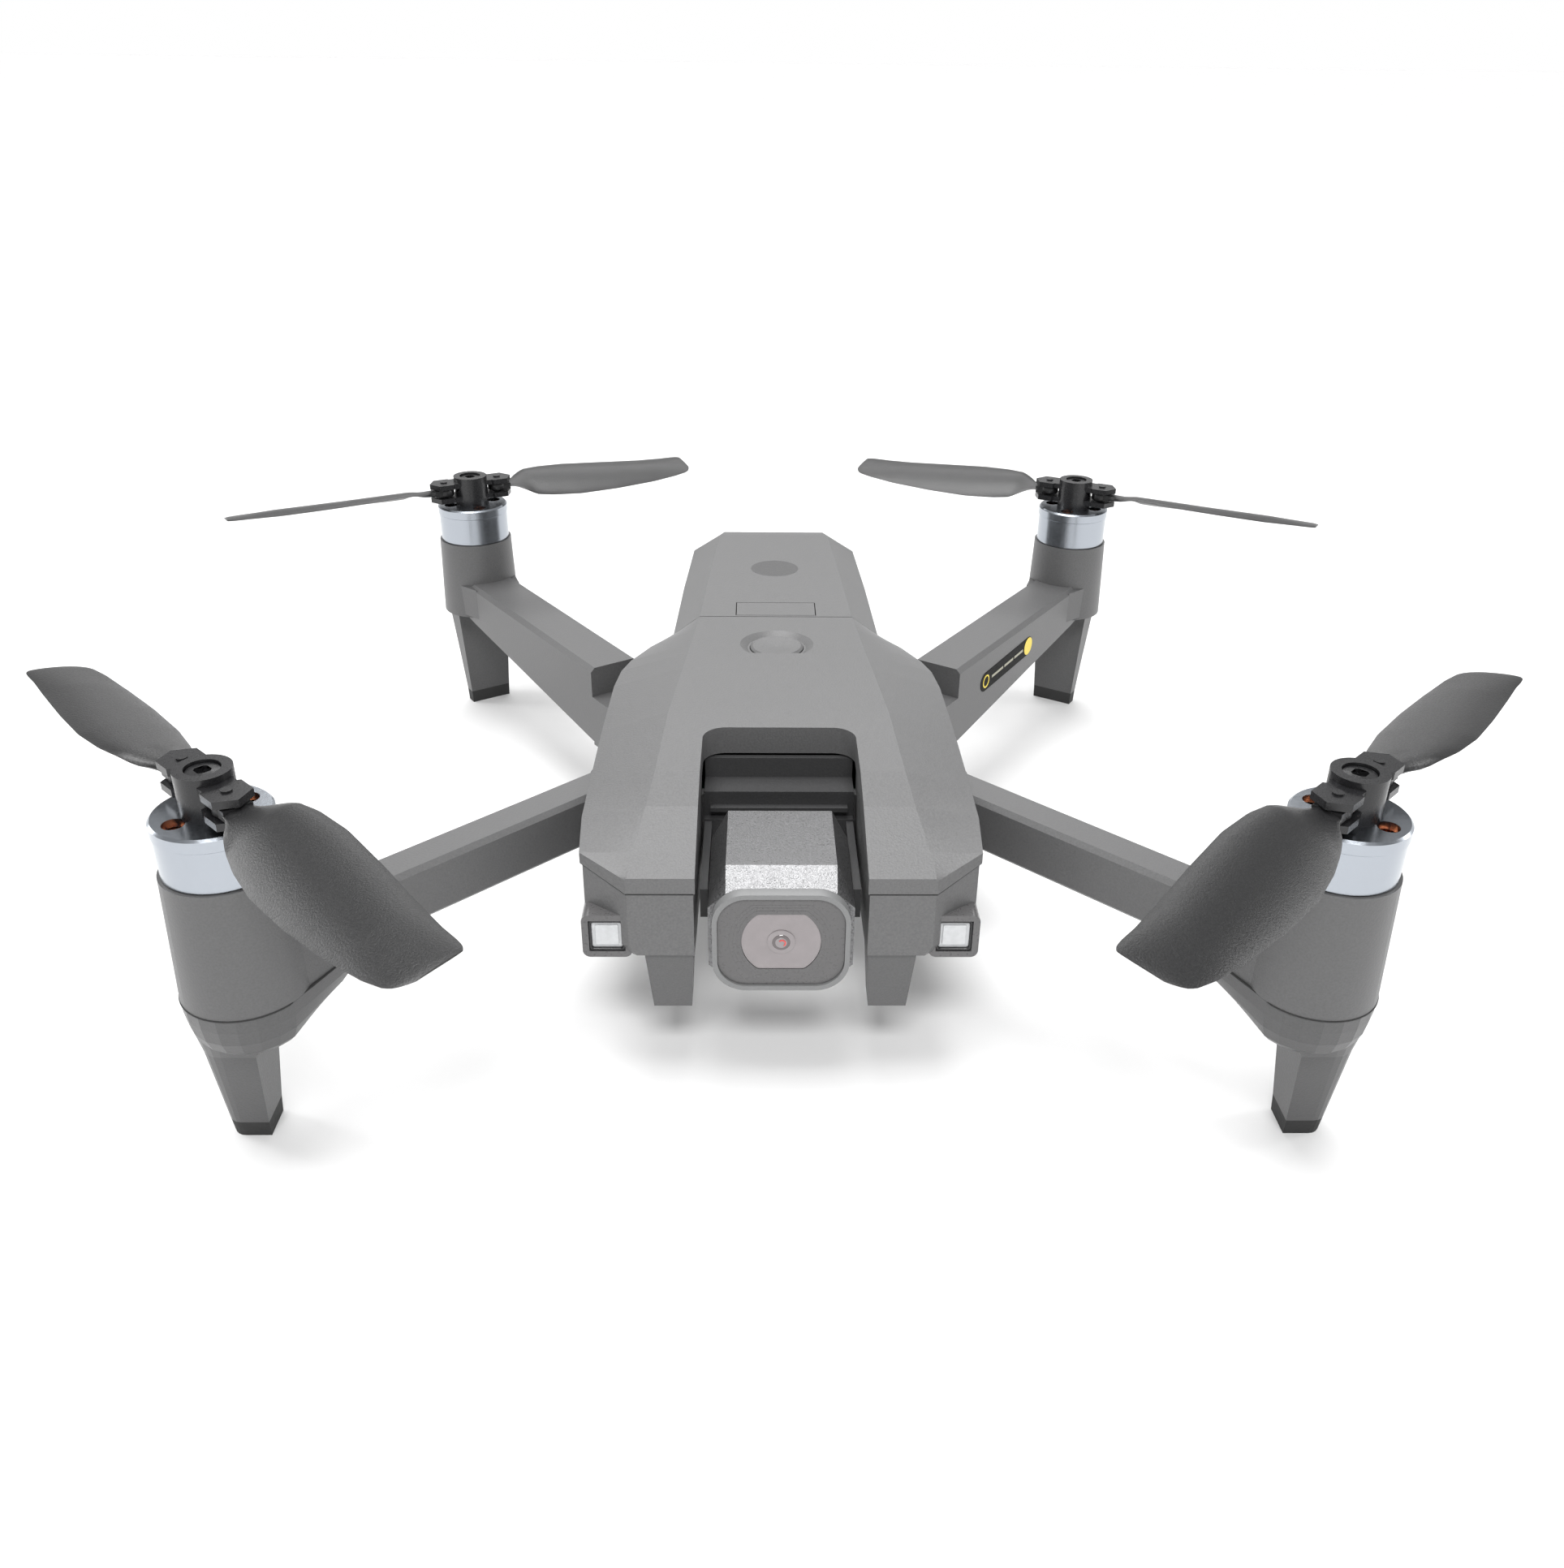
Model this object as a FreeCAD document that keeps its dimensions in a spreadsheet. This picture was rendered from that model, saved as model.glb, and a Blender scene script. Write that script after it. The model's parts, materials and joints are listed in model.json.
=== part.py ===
import FreeCAD, Part
import os
import re
import Sketcher
from math import cos, radians, sin
from FreeCAD import Placement, Rotation, Vector

# A folding camera quadcopter, standing unfolded on its four legs.
# Millimetres, +Z up, nose towards -Y. Sizes are written from the point midway between the motor rows,
# and fore_aft_shift then moves every piece so that the bounding box is centred on the origin.

SIZES = {
    "fore_aft_shift": 10.58,
    # motors and propellers
    "front_motor_x": 115.8, "front_motor_y": -121.6, "front_can_top": 86.5,
    "rear_motor_x": 109.3, "rear_motor_y": 121.6, "rear_can_top": 78.3,
    "can_radius": 12.0, "can_height": 12.37, "can_wall": 1.2, "can_gap": 0.3, "lid_band": 0.25,
    "shaft_radius": 1.5, "shaft_clearance": 0.05, "stator_radius": 9.8,
    "hub_radius": 5.85, "hub_height": 9.83, "screw_radius": 3.63, "screw_depth": 1.6,
    "hinge_offset": 9.75, "hinge_pin_radius": 1.2, "lug_radius": 5.0, "lug_low": 1.8, "lug_thick": 1.7,
    "lug_high": 6.6, "eye_radius": 3.4, "blade_tip": 84.6, "blade_root_pitch": 20.0, "blade_tip_pitch": 9.0,
    "front_blade_angle": 45.0, "rear_blade_angle": 152.0,
    # front arms
    "front_pivot_x": 43.0, "front_pivot_y": -49.5, "front_arm_width": 10.8, "front_arm_low": 43.3,
    "front_arm_high": 57.5, "front_eye_radius": 6.0, "front_pin_radius": 2.0, "pin_clearance": 0.05,
    "front_pod_top_radius": 12.7, "front_pod_low_radius": 13.9, "pod_seam": 44.0, "fairing_reach": 24.0,
    # rear arms
    "rear_pivot_x": 40.0, "rear_pivot_y": 20.0, "rear_pivot_z": 33.5, "rear_axis_angle": -11.1,
    "rear_arm_width": 16.8, "rear_arm_high": 51.7, "rear_arm_low": 25.0, "rear_arm_pod_low": 37.0,
    "rear_barrel_radius": 8.5, "rear_pin_radius": 3.0, "rear_pod_radius": 12.7, "rear_pod_low": 39.0,
    "leg_pad_height": 4.5,
    # fuselage
    "wall": 2.0, "nose_y": -98.5, "shell_rear_y": 43.0, "rim_under": 58.1, "belly_z": 27.0,
    "lower_half_width": 29.5, "bay_half_width": 20.0, "bay_rear_y": -39.0, "bay_corner_radius": 6.0,
    "button_y": 20.0, "button_radius": 8.0, "button_dish": 11.0, "button_top": 65.0, "button_gap": 0.2,
    # battery
    "battery_front_y": 43.4, "battery_rear_y": 132.0, "battery_low": 31.6, "battery_split": 57.0,
    "latch_half_width": 12.5, "latch_length": 11.0, "latch_gap": 0.3, "latch_thick": 1.8, "latch_travel": 1.0,
    # camera
    "tilt_y": -80.0, "tilt_z": 40.5, "camera_half_width": 17.2, "camera_front_y": -97.0, "camera_rear_y": -65.0,
    "camera_low": 26.0, "camera_high": 56.0, "camera_top_half_width": 13.0, "lens_frame_depth": 3.0,
    "lens_radius": 9.2, "lens_flat": 6.6, "tilt_pin_radius": 2.5,
    # headlights
    "lamp_x": 41.0, "lamp_z": 39.0, "lamp_side": 11.7, "lamp_lens": 8.5, "lamp_front_y": -97.0,
}

doc = FreeCAD.newDocument("quadcopter")
sheet = doc.addObject("Spreadsheet::Sheet", "Sizes")
for row, (alias, value) in enumerate(SIZES.items(), 1):
    sheet.set(f"A{row}", alias)
    sheet.set(f"B{row}", str(value))
    sheet.setAlias(f"B{row}", alias)
doc.recompute()

NODES = []
UP = Vector(0, 0, 1)


def size(alias):
    """The current value of one driving dimension."""
    return float(sheet.get(alias))


def link(text):
    """An expression on the sheet's aliases, as the document's objects read it."""
    return re.sub(r"[a-z_]+", lambda word: "Sizes." + word.group() if word.group() in SIZES else word.group(), text)


def number(text):
    """The value of such an expression now."""
    return float(sheet.evalExpression(text))


def bind(item, **links):
    """Tie properties to the sheet. A double underscore in a name stands for a dot."""
    for name, text in links.items():
        item.setExpression(name.replace("__", "."), link(str(text)))
    return item


def place(item, x="0", y="0", z="0"):
    """Tie an object's position to the sheet."""
    return bind(item, Placement__Base__x=x, Placement__Base__y=y, Placement__Base__z=z)


def turn(item, axis, angle):
    """Set an object's rotation, keeping its position links."""
    item.Placement = Placement(item.Placement.Base, Rotation(axis, angle))
    return item


def node(item, label):
    """Name a finished piece and move it with the whole aircraft."""
    item.Label = label
    links = dict(item.ExpressionEngine)
    y = links.get(".Placement.Base.y") or links.get("Placement.Base.y") or item.Placement.Base.y
    item.setExpression("Placement.Base.y", f"({y}) + Sizes.fore_aft_shift")
    NODES.append(item)
    return item


def feature(label, shape):
    """A piece whose shape is a loft or a mix of lofts."""
    item = doc.addObject("Part::Feature", label)
    item.Shape = shape
    item.Placement = shape.Placement
    return node(item, label)


def box(x, y, z, length, width, height, name="block"):
    """A rectangular block from its low corner."""
    item = bind(doc.addObject("Part::Box", name), Length=length, Width=width, Height=height)
    return place(item, x, y, z)


def cylinder(x, y, z, radius, height, name="round"):
    """An upright cylinder from the centre of its foot."""
    item = bind(doc.addObject("Part::Cylinder", name), Radius=radius, Height=height)
    return place(item, x, y, z)


def fuse(name, *pieces):
    item = doc.addObject("Part::MultiFuse", name)
    item.Shapes = list(pieces)
    item.Refine = True
    return item


def mirrored(source, label):
    """The left-hand twin of a right-hand piece."""
    item = doc.addObject("Part::Mirroring", label)
    item.Source = source
    item.Normal = Vector(1, 0, 0)
    item.Label = label
    NODES.append(item)
    return item


def outline(body, role, corners):
    """A closed polygon sketch on one of the body's origin planes, each corner tied to the sheet."""
    sketch = body.newObject("Sketcher::SketchObject", "outline")
    plane = next(item for item in body.Origin.OriginFeatures if item.Role == role)
    sketch.AttachmentSupport = [(plane, "")]
    sketch.MapMode = "FlatFace"
    points = [Vector(number(across), number(along), 0) for across, along in corners]
    for start, end in zip(points, points[1:] + points[:1]):
        sketch.addGeometry(Part.LineSegment(start, end))
    for index in range(len(points)):
        sketch.addConstraint(Sketcher.Constraint("Coincident", index, 2, (index + 1) % len(points), 1))
    for index, corner in enumerate(corners):
        for kind, axis, text in (("DistanceX", -2, corner[0]), ("DistanceY", -1, corner[1])):
            if text == "0":
                sketch.addConstraint(Sketcher.Constraint("PointOnObject", index, 1, axis))
                continue
            made = sketch.addConstraint(Sketcher.Constraint(kind, -1, 1, index, 1, number(text)))
            sketch.setExpression(f"Constraints[{made}]", link(text))
    return sketch


def turned(name, corners):
    """A solid of revolution about its own Z axis; corners are radius and height."""
    body = doc.addObject("PartDesign::Body", name)
    feature_turn = body.newObject("PartDesign::Revolution", "turn")
    sketch = outline(body, "XZ_Plane", corners)
    feature_turn.Profile = sketch
    feature_turn.ReferenceAxis = (sketch, ["V_Axis"])
    feature_turn.Angle = 360
    body.Tip = feature_turn
    return body


def ring_of_holes(body, radius, spot, depth, count):
    """Round openings through a turned piece's top, spread evenly about its axis."""
    sketch = body.newObject("Sketcher::SketchObject", "opening")
    plane = next(item for item in body.Origin.OriginFeatures if item.Role == "XY_Plane")
    sketch.AttachmentSupport = [(plane, "")]
    sketch.MapMode = "FlatFace"
    sketch.addGeometry(Part.Circle(Vector(spot, 0, 0), UP, radius))
    sketch.addConstraint(Sketcher.Constraint("PointOnObject", 0, 3, -1))
    sketch.addConstraint(Sketcher.Constraint("DistanceX", -1, 1, 0, 3, spot))
    sketch.addConstraint(Sketcher.Constraint("Radius", 0, radius))
    pocket = body.newObject("PartDesign::Pocket", "lid_opening")
    pocket.Profile = sketch
    pocket.Length = depth
    doc.recompute()
    pattern = body.newObject("PartDesign::PolarPattern", "openings")
    pattern.Originals = [pocket]
    pattern.Axis = (sketch, ["N_Axis"])
    pattern.Occurrences = count
    body.Tip = pattern
    return body


def polygon(points):
    return Part.makePolygon([Vector(*point) for point in points] + [Vector(*points[0])])


def loft(sections, ruled=True):
    """A closed solid through polygon sections with equal corner counts, its faces pointing outwards."""
    solid = Part.makeLoft([polygon(section) for section in sections], True, ruled)
    if solid.Volume < 0:
        solid.reverse()
    return solid


def block(x_low, x_high, y_low, y_high, z_low, z_high):
    corner = Vector(x_low, y_low, z_low)
    return Part.makeBox(x_high - x_low, y_high - y_low, z_high - z_low, corner)


# ---------------------------------------------------------------- fuselage

# Stations along the upper shell: y, rim half-width, rim underside, rim top, ridge half-width, ridge height.
UPPER = [
    (-98.5, 36.0, 51.7, 55.5, 35.6, 55.9),
    (-90.3, 47.2, 55.2, 58.0, 34.8, 58.2),
    (-76.0, 48.1, 55.8, 59.4, 32.6, 62.4),
    (-62.5, 48.1, 58.1, 59.6, 31.2, 65.0),
    (-30.0, 48.0, 58.1, 59.8, 29.8, 65.9),
    (0.0, 47.5, 58.1, 59.8, 27.4, 65.8),
    (12.0, 46.4, 58.1, 59.6, 26.4, 65.6),
    (20.3, 44.2, 58.1, 59.4, 25.8, 65.4),
    (32.4, 39.1, 58.1, 59.0, 25.0, 65.2),
    (43.0, 32.7, 58.1, 58.8, 24.2, 65.0),
]


def upper_section(station):
    y, rim, under, top, ridge, height = station
    right = [(rim, y, under), (rim, y, top), (ridge, y, height)]
    return right + [(-x, at, z) for x, at, z in reversed(right)]


def bay_tool(half_width, rear_y, radius, z_low, z_high):
    """The camera bay's plan: open at the nose, with rounded rear corners."""
    front = size("nose_y") - 12
    solid = block(-half_width, half_width, front, rear_y, z_low, z_high)
    corners = [edge for edge in solid.Edges
               if abs(edge.tangentAt(edge.FirstParameter).z) > 0.9 and edge.CenterOfMass.y > rear_y - 1]
    return solid.makeFillet(radius, corners)


def make_upper_shell():
    body = loft([upper_section(station) for station in UPPER])
    wall = size("wall")
    inner = size("lower_half_width") - wall
    cavity = loft([[(-inner, y, 50), (inner, y, 50), (inner, y, height - wall - 1.4),
                    (ridge - 6, y, height - wall), (6 - ridge, y, height - wall), (-inner, y, height - wall - 1.4)]
                   for y, _, _, _, ridge, height in UPPER[3:-1]]
                  + [[(-inner, 41, 50), (inner, 41, 50), (inner, 41, 61.4), (18, 41, 63), (-18, 41, 63),
                      (-inner, 41, 61.4)]])
    bay = size("bay_half_width")
    rear = size("bay_rear_y")
    corner = size("bay_corner_radius")
    cavity = cavity.cut(bay_tool(bay + wall, rear + wall, corner + wall, 40, 80))
    body = body.cut(cavity).cut(bay_tool(bay, rear, corner, 40, 80))
    spot = Vector(0, size("button_y"), size("button_top"))
    dish = Part.makeCone(size("button_radius") + 0.8, size("button_dish") + 0.4, 1.6, spot - UP * 1.0)
    hole = Part.makeCylinder(size("button_radius") + size("button_gap"), 20, spot - UP * 12)
    for side in (-1, 1):
        pin = Vector(side * size("front_pivot_x"), size("front_pivot_y"), 50)
        body = body.cut(Part.makeCylinder(size("front_pin_radius"), 9.2, pin))
    return body.cut(dish).cut(hole)


def rear_pin(side, start, length, radius):
    """The near-lateral rear hinge, measured outwards from its point nearest the fuselage."""
    tilt = radians(size("rear_axis_angle"))
    outwards = Vector(side * cos(tilt), sin(tilt), 0)
    pivot = Vector(side * size("rear_pivot_x"), size("rear_pivot_y"), size("rear_pivot_z"))
    return Part.makeCylinder(radius, length, pivot + outwards * start, outwards)


def lower_section(y, foot, low, half, waist, high):
    right = [(foot, y, low), (half, y, waist), (half, y, high)]
    return right + [(-x, at, z) for x, at, z in reversed(right)]


def make_lower_shell():
    half = size("lower_half_width")
    belly = size("belly_z")
    rim = size("rim_under") - 0.1
    nose = loft([
        lower_section(-98.3, 34.0, 34.5, 35.8, 37.0, 51.6),
        lower_section(-90.3, 42.0, 33.0, 46.6, 36.0, 55.1),
        lower_section(-76.0, 44.0, 32.0, 47.4, 36.0, 55.7),
        lower_section(-64.5, 30.0, 30.0, 46.8, 36.0, 57.4),
    ])
    waist = loft([
        lower_section(-66.0, 27.0, 29.5, half, 33.0, 57.0),
        lower_section(-55.0, 24.0, belly, half, 32.0, rim),
        lower_section(43.0, 24.0, belly, half, 32.0, rim),
    ])
    tray = loft([
        lower_section(40.0, 23.9, belly + 0.1, 29.0, 29.5, 31.2),
        lower_section(104.0, 22.0, belly + 1.5, 27.0, 30.0, 31.2),
        lower_section(116.0, 18.0, 30.0, 23.0, 30.6, 31.2),
    ])
    body = nose.fuse([waist, tray])
    for side in (-1, 1):
        spot = Vector(side * size("front_pivot_x"), size("front_pivot_y"), 37)
        ear = Part.makeCylinder(size("front_eye_radius"), 5.9, spot)
        web = block(min(side * 24, side * 43), max(side * 24, side * 43), spot.y - 6, spot.y + 6, 37, 42.9)
        body = body.fuse([ear, web])
    body = body.cut(block(-27.4, 27.4, -44, 41, belly + size("wall"), 70))
    body = body.cut(bay_tool(size("bay_half_width") + 0.4, -47.0, 0.7, 10, 80))
    body = body.cut(block(-20.4, 20.4, -60, size("bay_rear_y"), 50, 80))
    body = body.cut(block(-16.2, 16.2, 40, 44, 36, 50))
    posts = [Part.makeCylinder(3, 11, Vector(x, y, 29)) for x in (-20, 20) for y in (-30, 26)]
    body = body.fuse(posts)
    for side in (-1, 1):
        spot = Vector(side * size("front_pivot_x"), size("front_pivot_y"), 38.5)
        body = body.cut(Part.makeCylinder(size("front_pin_radius"), 10, spot))
        body = body.cut(rear_pin(side, -22, 20, size("rear_pin_radius")))
        body = body.cut(lamp_block(side, 14))
        body = body.cut(nose_foot(side))
        for y in (-38, 34):
            body = body.cut(Part.makeCylinder(1.6, 6, Vector(side * 12, y, 26)))
    body = body.cut(Part.makeCylinder(9, 1.6, Vector(0, 0, 26.9)))
    return body


def lamp_block(side, depth):
    """The square headlight housing that stands out of the nose corner."""
    half = size("lamp_side") / 2
    middle = side * size("lamp_x")
    front = size("lamp_front_y")
    z = size("lamp_z")
    solid = block(middle - half, middle + half, front, front + depth, z - half, z + half)
    return solid.makeFillet(1.8, [edge for edge in solid.Edges if abs(edge.tangentAt(edge.FirstParameter).y) > 0.9])


def nose_foot(side):
    """A short tapered skid beside the camera."""
    sections = []
    for z, x_low, x_high, y_low, y_high in ((18, 21.4, 30.6, -96.0, -88.0), (36, 20.6, 32.4, -97.6, -82.0)):
        sections.append([(side * x_low, y_low, z), (side * x_high, y_low, z),
                         (side * x_high, y_high, z), (side * x_low, y_high, z)])
    return loft(sections)


feature("upper_shell", make_upper_shell())
feature("lower_shell", make_lower_shell())
feature("nose_feet", Part.makeCompound([nose_foot(side) for side in (-1, 1)]))


def make_lamps():
    bezels = []
    lenses = []
    for side in (-1, 1):
        half = size("lamp_lens") / 2
        middle = side * size("lamp_x")
        front = size("lamp_front_y")
        z = size("lamp_z")
        window = block(middle - half, middle + half, front - 1, front + 5, z - half, z + half)
        bezels.append(lamp_block(side, 14).cut(window))
        lenses.append(block(middle - half, middle + half, front + 1.2, front + 5, z - half, z + half))
    feature("headlight_bezels", Part.makeCompound(bezels))
    feature("headlight_lenses", Part.makeCompound(lenses))


make_lamps()

# The lining of the camera bay: a back wall, a ledge under the shell's cut-out and two louvres.
tray = fuse("tray_parts",
            box("-19.6", "-49.4", "30", "39.2", "2.3", "22", "tray_back"),
            box("-19.6", "-49.4", "50.2", "39.2", "10.2", "1.8", "tray_ledge"),
            box("-19.6", "-41", "51", "39.2", "1.8", "6.6", "tray_riser"),
            box("-18", "-51.4", "47", "36", "2.4", "1.2", "tray_louvre"))
node(tray, "gimbal_tray")

node(box("-23", "-34", "40", "46", "64", "1.6", "main_board"), "main_board")
node(box("-11", "-24", "41.6", "22", "22", "6", "gps_module"), "gps_module")
node(box("-12", "36", "42", "24", "4.4", "6", "battery_contacts"), "battery_contacts")
window = turned("belly_sensor_window", [("0", "0"), ("9", "0"), ("9", "1.5"), ("0", "1.5")])
node(place(window, "0", "0", "belly_z"), "belly_sensor_window")

screws = [turned("shell_screw", [("0", "0"), ("1.6", "0"), ("1.6", "4.8"), ("0", "4.8")]) for _ in range(4)]
for screw, (x, y) in zip(screws, ((-12, -38), (12, -38), (-12, 34), (12, 34))):
    place(screw, str(x), str(y), "belly_z + 0.1")
node(fuse("screw_group", *screws), "shell_screws")

front_pins = [cylinder(f"{side} * front_pivot_x", "front_pivot_y", "38.5", "front_pin_radius", "20.7", "front_pin")
              for side in (-1, 1)]
node(fuse("front_pin_pair", *front_pins), "front_hinge_pins")
feature("rear_hinge_pins",
        Part.makeCompound([rear_pin(side, -14, 20.4, size("rear_pin_radius")) for side in (-1, 1)]))

# ---------------------------------------------------------------- battery


def battery_section(y, foot, half, rim_z, ridge, top, low, high):
    """One slice of the battery: lower sides, rim and sloping shoulders, clipped between two heights."""
    if high <= rim_z:
        right = [(foot, y, low), (half, y, low + 3), (half, y, high)]
    else:
        right = [(half, y, low), (half, y, rim_z), (ridge, y, top)]
    return right + [(-x, at, z) for x, at, z in reversed(right)]


# Stations: y, foot half-width, rim half-width, rim height, ridge half-width, top height.
BATTERY = [(43.4, 26.0, 32.6, 58.8, 24.1, 65.0), (86.0, 25.0, 31.4, 58.8, 22.2, 65.0),
           (127.0, 24.0, 29.6, 58.8, 20.0, 64.8), (132.0, 18.0, 20.5, 58.4, 18.4, 64.4)]


def make_battery():
    split = size("battery_split")
    low = size("battery_low")
    case = loft([battery_section(*station, low, split) for station in BATTERY])
    case = case.cut(block(-25, 25, 48, 124, 35, 70))
    case = case.fuse(block(-15.5, 15.5, 40.6, 48.5, 36.8, 41.8))
    cover = loft([battery_section(*station, split, 70) for station in BATTERY])
    gap = size("latch_gap")
    half = size("latch_half_width") + gap
    front = size("battery_front_y")
    cover = cover.cut(block(-half, half, front + 1.2 - gap, front + 1.2 + size("latch_length") + gap, 61.6, 70))
    feature("battery_case", case)
    feature("battery_cover", cover)


make_battery()
node(box("-24.5", "48.5", "35", "49", "75", "21.5", "battery_cells"), "battery_cells")
latch = box("-latch_half_width", "battery_front_y + 1.2", "65 - latch_thick",
            "2 * latch_half_width", "latch_length", "latch_thick", "battery_latch")
node(latch, "battery_latch")

button = turned("power_button", [("0", "-3.2"), ("button_radius", "-3.2"), ("button_radius", "-0.7"),
                                 ("button_radius - 0.7", "-0.2"), ("0", "-0.9")])
node(place(button, "0", "button_y", "button_top"), "power_button")

# ---------------------------------------------------------------- camera


def make_camera():
    half = size("camera_half_width")
    top_half = size("camera_top_half_width")
    front = size("camera_front_y")
    rear = size("camera_rear_y")
    low = size("camera_low")
    high = size("camera_high")
    rows = []
    for y, lift in ((front, 5.0), (front + 4.5, 0.0), (rear, 1.0)):
        right = [(12.0, y, low), (half, y, low + 5), (half, y, high - 9), (top_half, y, high - lift)]
        rows.append(right + [(-x, at, z) for x, at, z in reversed(right)])
    body = loft(rows)
    tilt = Vector(0, size("tilt_y"), size("tilt_z"))
    for side in (-1, 1):
        socket = Part.makeCylinder(size("tilt_pin_radius") + 0.05, 2.5, tilt + Vector(side * half, 0, 0),
                                   Vector(-side, 0, 0))
        body = body.cut(socket)
    middle = Vector(0, front, 39.0)
    body = body.cut(Part.makeCylinder(size("lens_radius") + 1.4, 20, middle - Vector(0, 1, 0), Vector(0, 1, 0)))
    feature("camera_housing", body)
    frame = block(-16.2, 16.2, front - size("lens_frame_depth"), front, 25.6, 52.4)
    frame = frame.makeFillet(8.0, [edge for edge in frame.Edges
                                   if abs(edge.tangentAt(edge.FirstParameter).y) > 0.9])
    opening = Part.makeCylinder(size("lens_radius"), 8, middle - Vector(0, 6, 0), Vector(0, 1, 0))
    flat = size("lens_flat")
    opening = opening.common(block(-20, 20, front - 10, front + 10, 39 - flat, 39 + flat))
    rebate = block(-15.0, 15.0, front - 4, front - 1.8, 26.8, 51.2)
    rebate = rebate.makeFillet(7.0, [edge for edge in rebate.Edges
                                     if abs(edge.tangentAt(edge.FirstParameter).y) > 0.9])
    feature("lens_bezel", frame.cut(rebate).cut(opening))
    glass = opening.common(block(-20, 20, front - 1.7, front - 0.2, 20, 60))
    feature("lens_glass", glass)


make_camera()
barrel = turned("lens_barrel", [("2.2", "0.4"), ("lens_radius + 1.3", "0.1"), ("lens_radius + 1.3", "12"),
                                ("2.6", "12"), ("2.6", "4")])
turn(barrel, Vector(1, 0, 0), -90)
place(barrel, "0", "camera_front_y", "39")
node(barrel, "lens_barrel")
node(box("-7", "camera_front_y + 12.1", "32", "14", "1.6", "14", "image_sensor"), "image_sensor")

bracket = fuse("bracket_parts",
               box("-19.5", "-51.8", "36", "39", "2.3", "9", "bracket_bar"),
               box("-19.5", "tilt_y - 5", "36.5", "1.9", "34", "8", "bracket_left"),
               box("17.6", "tilt_y - 5", "36.5", "1.9", "34", "8", "bracket_right"),
               *[turn(place(bind(doc.addObject("Part::Cylinder", "tilt_pin"), Radius="tilt_pin_radius",
                                 Height="4"), x, "tilt_y", "tilt_z"), Vector(0, 1, 0), 90)
                 for x in ("-19.4", "15.4")])
node(bracket, "gimbal_bracket")

# ---------------------------------------------------------------- propulsion


def make_blade(angle, spot):
    """A folding blade: flat eye and neck, then a twisted aerofoil; it points along angle from the motor."""
    # radius from the motor axis, leading half-chord, trailing half-chord, thickness
    stations = [(15.0, 3.2, 3.2, 2.4), (19.0, 7.2, 6.4, 2.2), (26.0, 9.6, 9.2, 2.0), (38.0, 10.0, 11.6, 1.8),
                (52.0, 8.4, 12.2, 1.5), (68.0, 6.3, 11.6, 1.3), (76.0, 5.3, 10.9, 1.1), (81.0, 4.9, 9.6, 1.0),
                (83.4, 4.5, 7.4, 0.9)]
    tip = size("blade_tip")
    stations.append((tip, 3.6, 4.2, 0.8))
    root_pitch = size("blade_root_pitch")
    tip_pitch = size("blade_tip_pitch")
    sections = []
    for radius, lead, trail, thick in stations:
        share = (radius - 15.0) / (tip - 15.0)
        pitch = radians((root_pitch + (tip_pitch - root_pitch) * share) * min(1.0, (radius - 14.0) / 8.0))
        section = []
        for across, lift in ((lead, 0.1), (lead * 0.5, 0.5), (-trail * 0.4, 0.5), (-trail, 0.05),
                             (-trail * 0.4, -0.5), (lead * 0.5, -0.5)):
            rise = lift * thick
            section.append((radius, across * cos(pitch) - rise * sin(pitch),
                            across * sin(pitch) + rise * cos(pitch)))
        sections.append(section)
    hinge = Vector(size("hinge_offset"), 0, 0)
    half = 1.4
    eye = Part.makeCylinder(size("eye_radius"), 2 * half, hinge - UP * half)
    neck = block(hinge.x, 15.6, -3.1, 3.1, -1.2, 1.2)
    solid = eye.fuse([neck, loft(sections, False)])
    solid = solid.cut(Part.makeCylinder(size("hinge_pin_radius") + 0.05, 8, hinge - UP * 4))
    solid.rotate(Vector(), UP, angle)
    solid.translate(spot + UP * (size("lug_low") + size("lug_thick") + size("lug_high")) / 2)
    return solid


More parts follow.
